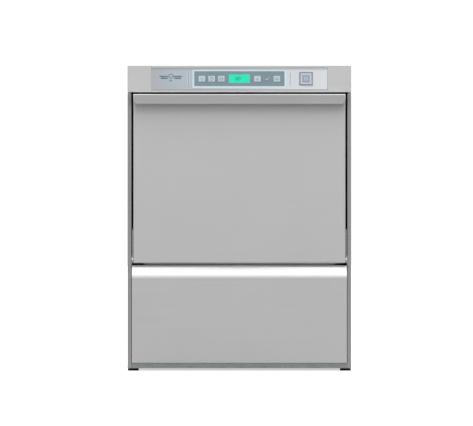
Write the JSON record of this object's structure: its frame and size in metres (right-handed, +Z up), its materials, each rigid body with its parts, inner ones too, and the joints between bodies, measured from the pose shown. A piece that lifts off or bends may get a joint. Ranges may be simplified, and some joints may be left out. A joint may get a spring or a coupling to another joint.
{
  "type": "glass washer",
  "caption": "Undercounter stainless glass washer with a drop-down front door, overhanging handle lip, control panel, rotating spray arms, pumps and a boiler",
  "frame": {"origin": "on the floor, in the middle of the overall box", "axes": "+X to the machine's right as seen from the front, +Y to the rear, +Z up"},
  "size_m": [0.6, 0.628, 0.82],
  "materials": {
    "casing_steel": "brushed stainless sheet",
    "chamber_steel": "bright stainless sheet",
    "frame_steel": "zinc-coated sheet",
    "arm_steel": "polished stainless",
    "hinge_steel": "machined steel",
    "screw_steel": "bright steel",
    "heater_steel": "heat-darkened steel tube",
    "overlay_film": "satin printed film",
    "field_film": "blue-grey printed film",
    "key_caps": "pale key caps",
    "display_lens": "lit blue-green display window",
    "bezel_plastic": "dark blue-grey moulding",
    "button_plastic": "white moulding",
    "foot_plastic": "black moulding",
    "seal_rubber": "black rubber",
    "hose_rubber": "black hose",
    "pump_plastic": "black glass-filled moulding",
    "motor_metal": "die-cast housing",
    "doser_plastic": "light grey moulding",
    "valve_plastic": "white moulding",
    "nut_plastic": "blue moulding",
    "insulation_board": "mineral fibre board",
    "circuit_board": "green laminate"
  },
  "bodies": {
    "cabinet": {"base_frame": "frame_steel", "left_side_panel": "casing_steel", "right_side_panel": "casing_steel", "rear_panel": "casing_steel", "top_cover": "casing_steel", "lower_front_panel": "casing_steel", "door_posts": "frame_steel", "control_fascia": "casing_steel", "control_overlay": "overlay_film", "key_field": "field_film", "display_window": "display_lens", "start_button_bezel": "bezel_plastic", "control_board": "circuit_board", "electronics_box": "frame_steel", "wash_chamber": "chamber_steel", "wash_tank": "chamber_steel", "door_gasket": "seal_rubber", "rack_rails": "chamber_steel", "tank_strainers": "chamber_steel", "spray_posts": "arm_steel", "riser_duct": "arm_steel", "arm_nuts": "nut_plastic", "wash_pump_casing": "pump_plastic", "wash_pump_motor": "motor_metal", "pump_hoses": "hose_rubber", "drain_pump": "pump_plastic", "drain_hose": "hose_rubber", "boiler": "arm_steel", "heating_elements": "heater_steel", "dosing_pumps": "doser_plastic", "inlet_valve": "valve_plastic", "cable_gland": "pump_plastic", "hinge_blocks": "hinge_steel", "hinge_pins": "hinge_steel", "door_springs": "hinge_steel", "panel_screws": "screw_steel"},
    "door": {"door_outer_skin": "casing_steel", "door_inner_skin": "chamber_steel", "door_insulation": "insulation_board", "hinge_arms": "hinge_steel"},
    "foot_front_left": {"foot_front_left": "foot_plastic"},
    "foot_front_right": {"foot_front_right": "foot_plastic"},
    "foot_rear_left": {"foot_rear_left": "foot_plastic"},
    "foot_rear_right": {"foot_rear_right": "foot_plastic"},
    "key_left_1": {"key_left_1": "key_caps"},
    "key_left_2": {"key_left_2": "key_caps"},
    "key_left_3": {"key_left_3": "key_caps"},
    "key_right_1": {"key_right_1": "key_caps"},
    "key_right_2": {"key_right_2": "key_caps"},
    "key_right_3": {"key_right_3": "key_caps"},
    "start_button": {"start_button": "button_plastic"},
    "basket": {"strainer_basket": "chamber_steel"},
    "lower_wash_arm": {"lower_wash_arm": "arm_steel"},
    "lower_rinse_arm": {"lower_rinse_arm": "arm_steel"},
    "upper_wash_arm": {"upper_wash_arm": "arm_steel"},
    "upper_rinse_arm": {"upper_rinse_arm": "arm_steel"},
    "wash_pump_rotor": {"wash_pump_rotor": "hinge_steel"},
    "drain_pump_rotor": {"drain_pump_rotor": "hinge_steel"},
    "detergent_dosing_rotor": {"detergent_dosing_rotor": "doser_plastic"},
    "rinse_aid_dosing_rotor": {"rinse_aid_dosing_rotor": "doser_plastic"}
  },
  "joints": [
    {"name": "door_hinge", "type": "hinge", "parent": "cabinet", "child": "door", "pos_m": [0, -0.278, 0.297], "axis": [1, 0, 0], "range_deg": [0, 90], "deforming": ["door_springs"]},
    {"name": "foot_front_left_screw", "type": "slide", "parent": "cabinet", "child": "foot_front_left", "axis": [0, 0, -1], "range_m": [0, 0.025]},
    {"name": "foot_front_right_screw", "type": "slide", "parent": "cabinet", "child": "foot_front_right", "axis": [0, 0, -1], "range_m": [0, 0.025]},
    {"name": "foot_rear_left_screw", "type": "slide", "parent": "cabinet", "child": "foot_rear_left", "axis": [0, 0, -1], "range_m": [0, 0.025]},
    {"name": "foot_rear_right_screw", "type": "slide", "parent": "cabinet", "child": "foot_rear_right", "axis": [0, 0, -1], "range_m": [0, 0.025]},
    {"name": "key_left_1_press", "type": "slide", "parent": "cabinet", "child": "key_left_1", "axis": [0, 1, 0], "range_m": [0, 0.0006], "stiffness_N_per_m": 1500},
    {"name": "key_left_2_press", "type": "slide", "parent": "cabinet", "child": "key_left_2", "axis": [0, 1, 0], "range_m": [0, 0.0006], "stiffness_N_per_m": 1500},
    {"name": "key_left_3_press", "type": "slide", "parent": "cabinet", "child": "key_left_3", "axis": [0, 1, 0], "range_m": [0, 0.0006], "stiffness_N_per_m": 1500},
    {"name": "key_right_1_press", "type": "slide", "parent": "cabinet", "child": "key_right_1", "axis": [0, 1, 0], "range_m": [0, 0.0006], "stiffness_N_per_m": 1500},
    {"name": "key_right_2_press", "type": "slide", "parent": "cabinet", "child": "key_right_2", "axis": [0, 1, 0], "range_m": [0, 0.0006], "stiffness_N_per_m": 1500},
    {"name": "key_right_3_press", "type": "slide", "parent": "cabinet", "child": "key_right_3", "axis": [0, 1, 0], "range_m": [0, 0.0006], "stiffness_N_per_m": 1500},
    {"name": "start_button_press", "type": "slide", "parent": "cabinet", "child": "start_button", "axis": [0, 1, 0], "range_m": [0, 0.0015], "stiffness_N_per_m": 1200},
    {"name": "basket_lift", "type": "slide", "parent": "cabinet", "child": "basket", "axis": [0, 0, 1], "range_m": [0, 0.1]},
    {"name": "lower_wash_arm_spin", "type": "hinge", "parent": "cabinet", "child": "lower_wash_arm", "pos_m": [0, 0.016, 0.3], "axis": [0, 0, 1], "continuous": true},
    {"name": "lower_rinse_arm_spin", "type": "hinge", "parent": "cabinet", "child": "lower_rinse_arm", "pos_m": [0, 0.016, 0.3], "axis": [0, 0, 1], "continuous": true},
    {"name": "upper_wash_arm_spin", "type": "hinge", "parent": "cabinet", "child": "upper_wash_arm", "pos_m": [0, 0.016, 0.7], "axis": [0, 0, 1], "continuous": true},
    {"name": "upper_rinse_arm_spin", "type": "hinge", "parent": "cabinet", "child": "upper_rinse_arm", "pos_m": [0, 0.016, 0.7], "axis": [0, 0, 1], "continuous": true},
    {"name": "wash_pump_spin", "type": "hinge", "parent": "cabinet", "child": "wash_pump_rotor", "pos_m": [0.082, 0, 0.098], "axis": [0, 1, 0], "continuous": true},
    {"name": "drain_pump_spin", "type": "hinge", "parent": "cabinet", "child": "drain_pump_rotor", "pos_m": [0.19, 0.15, 0.13], "axis": [0, 0, 1], "continuous": true},
    {"name": "detergent_dosing_spin", "type": "hinge", "parent": "cabinet", "child": "detergent_dosing_rotor", "pos_m": [0.15, -0.2, 0.1], "axis": [0, 1, 0], "continuous": true},
    {"name": "rinse_aid_dosing_spin", "type": "hinge", "parent": "cabinet", "child": "rinse_aid_dosing_rotor", "pos_m": [0.215, -0.2, 0.1], "axis": [0, 1, 0], "continuous": true}
  ]
}
